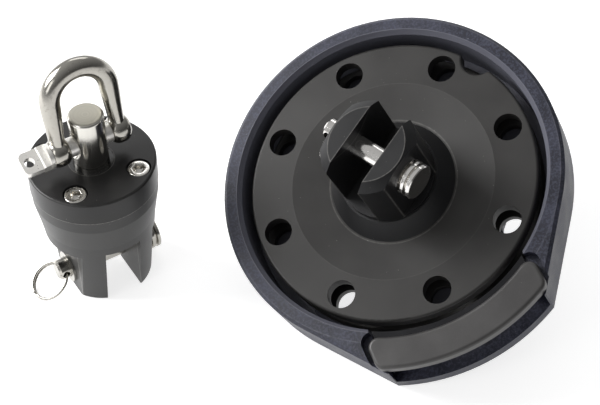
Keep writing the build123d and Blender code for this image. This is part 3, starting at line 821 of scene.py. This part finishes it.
def base_rib(name, start, material):
    """Moulded rib beside a window of the base: a bevelled rectangle of radius and height, turned about Z.

    The first and last sections shrink to their middle, which closes the ends.
    """
    section = np.array([
        (RIB_IN_R, RIB_BOT + RIB_BEVEL),
        (RIB_IN_R + RIB_BEVEL, RIB_BOT),
        (RIB_OUT_R, RIB_BOT),
        (RIB_OUT_R, RIB_TOP),
        (RIB_IN_R + RIB_BEVEL, RIB_TOP),
        (RIB_IN_R, RIB_TOP - RIB_BEVEL),
    ])
    turn = np.radians(np.linspace(start - RIB_OVERLAP, start + WINDOW_SPAN + RIB_OVERLAP, 49))
    turn = np.concatenate([turn[:1], turn, turn[-1:]])
    share = np.ones((len(turn), 1))
    share[[0, -1]] = 0.0
    middle = section.mean(axis=0)
    radius = middle[0] + share * (section[None, :, 0] - middle[0])
    height = middle[1] + share * (section[None, :, 1] - middle[1])
    points = placed(turned_about_z(radius, height, turn), DRUM_FRAME)
    sheet_piece(name, points, "fixed_side", material, wrap_v=True, flip=True)


def cap_screw(name, angle, material):
    """Socket screw: a profile turned about its axis, whose socket is six-sided.

    A row of the profile is a radius, a height and a share of hexagon. A point's radius is the row's
    radius, mixed by that share towards the hexagon's radius at that angle, which is the half width over
    the cosine of the angle from the middle of the nearest flat. Close rows keep the edges crisp.
    """
    profile = np.array([
        (0.0, SOCKET_FLOOR - 0.9, 0.0),
        (1.3, SOCKET_FLOOR - 0.4, 0.0),
        (SOCKET_HALF_WIDTH - 0.02, SOCKET_FLOOR, 1.0),
        (SOCKET_HALF_WIDTH, SOCKET_FLOOR + 0.1, 1.0),
        (SOCKET_HALF_WIDTH, -1.2, 1.0),
        (SOCKET_HALF_WIDTH, -0.32, 1.0),
        (SOCKET_HALF_WIDTH * 1.04, -0.16, 0.9),
        (SOCKET_HALF_WIDTH * 1.14, -0.04, 0.5),
        (SOCKET_HALF_WIDTH * 1.24, 0.0, 0.0),
        (HEAD_R - 1.4, 0.0, 0.0),
        (HEAD_R - 0.8, 0.0, 0.0),
        (HEAD_R - 0.45, -0.03, 0.0),
        (HEAD_R - 0.20, -0.16, 0.0),
        (HEAD_R - 0.06, -0.38, 0.0),
        (HEAD_R, -0.70, 0.0),
        (HEAD_R, HEAD_FOOT + 0.02, 0.0),
        (SHANK_R, HEAD_FOOT, 0.0),
        (SHANK_R, SHANK_END + 0.4, 0.0),
        (SHANK_R - 0.4, SHANK_END, 0.0),
        (0.0, SHANK_END, 0.0),
    ])
    turn = np.linspace(0, 2 * np.pi, 96, endpoint=False)
    from_flat = (turn + math.radians(angle) + np.pi / 6) % (np.pi / 3) - np.pi / 6
    share = profile[None, :, 2]
    radius = profile[None, :, 0] * ((1 - share) + share / np.cos(from_flat)[:, None])
    seat = SWIVEL_FRAME @ turn_z(angle) @ move(SCREW_PCR, 0, CAP_TOP - SCREW_SINK)
    points = placed(turned_about_z(radius, profile[None, :, 1], turn), seat)
    piece = sheet_piece(name, points, "swivel_housing", material, wrap_u=True, flip=True)
    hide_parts("cap_screws")


def soft_floor():
    """Plain pale table that glows white to the camera and in mirrors, and keeps the contact shadows."""
    bpy.ops.mesh.primitive_plane_add(size=TABLE_SIZE, location=(0, 0, 0))
    floor = bpy.context.object
    floor.name = "table"
    finish = Finish("table_white", Roughness=0.9, Emission_Strength=1.0, Base_Color=TABLE_COLOUR)
    rays = ("Is Camera Ray", "Is Glossy Ray", "Is Transmission Ray")
    direct, mirrored, through_glass = [finish.node("ShaderNodeLightPath", output=ray) for ray in rays]
    seen = (direct + mirrored + through_glass).clamped()
    finish.feed("Emission Color", finish.mix(seen, (0, 0, 0), TABLE_GLOW))
    floor.data.materials.append(finish.material)


def soft_light(name, spot, power, width, height):
    """Rectangular light, aimed at the middle of the object."""
    lamp = bpy.data.lights.new(name, "AREA")
    lamp.shape = "RECTANGLE"
    lamp.size = width
    lamp.size_y = height
    lamp.energy = power
    light = bpy.data.objects.new(name, lamp)
    light.location = spot
    aim = Vector(LIGHT_TARGET) - Vector(spot)
    light.rotation_euler = aim.to_track_quat("-Z", "Y").to_euler()
    bpy.context.scene.collection.objects.link(light)


def surroundings():
    """White horizon under a sky that is darker on the right."""
    world = bpy.data.worlds.new("studio")
    world.use_nodes = True
    sky = Shading(world.node_tree)
    facing = sky.node("ShaderNodeTexCoord", output="Generated")
    lean = sky.node("ShaderNodeVectorMath", {"operation": "DOT_PRODUCT"}, {0: facing, 1: SKY_LEAN}, "Value")
    upward = sky.node("ShaderNodeSeparateXYZ", {}, {0: facing}, "Z")
    horizon = upward.slope(*HORIZON_FADE, 1.0, 0.0)
    colour = sky.mix(horizon, lean.slope(*SKY_REACH, *SKY_GREY), HORIZON_WHITE)
    background = sky.tree.nodes["Background"]
    background.inputs["Strength"].default_value = 1.0
    sky.tree.links.new(colour.socket, background.inputs["Color"])
    bpy.context.scene.world = world


def studio():
    """The surroundings, with a broad light from the upper left and two weaker ones."""
    surroundings()
    for light in LIGHTS:
        soft_light(*light)
    bpy.context.scene.view_settings.view_transform = "Standard"


def camera():
    """Camera at the photograph's angle."""
    right = Vector(CAMERA_RIGHT)
    up = Vector(CAMERA_UP)
    back = right.cross(up)
    turn = Matrix((right, up, back)).transposed().to_4x4()
    spot = (Vector(DRUM_CENTRE) + Vector(CAMERA_FROM_DRUM)) * MM
    data = bpy.data.cameras.new("camera")
    data.lens = CAMERA_LENS
    data.sensor_width = CAMERA_SENSOR
    data.sensor_fit = "HORIZONTAL"
    view = bpy.data.objects.new("camera", data)
    view.matrix_world = Matrix.Translation(spot) @ turn
    bpy.context.scene.collection.objects.link(view)
    bpy.context.scene.camera = view


def main():
    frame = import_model()
    finishes = plastics() | drum_anodised() | swivel_anodised() | steels()
    dress_nodes(frame["nodes"], finishes)
    split_rings(finishes)
    forged_bow(finishes["bow_steel"])
    for number, angle in enumerate(SCREW_ANGLES, 1):
        cap_screw("cap_screw_%d" % number, angle, finishes["screw_steel"])
    base_rib("base_rib_right", WINDOW_MIDDLE + WINDOW_FROM, finishes["navy"])
    base_rib("base_rib_left", WINDOW_MIDDLE - WINDOW_FROM - WINDOW_SPAN, finishes["navy"])
    soft_floor()
    studio()
    camera()


main()
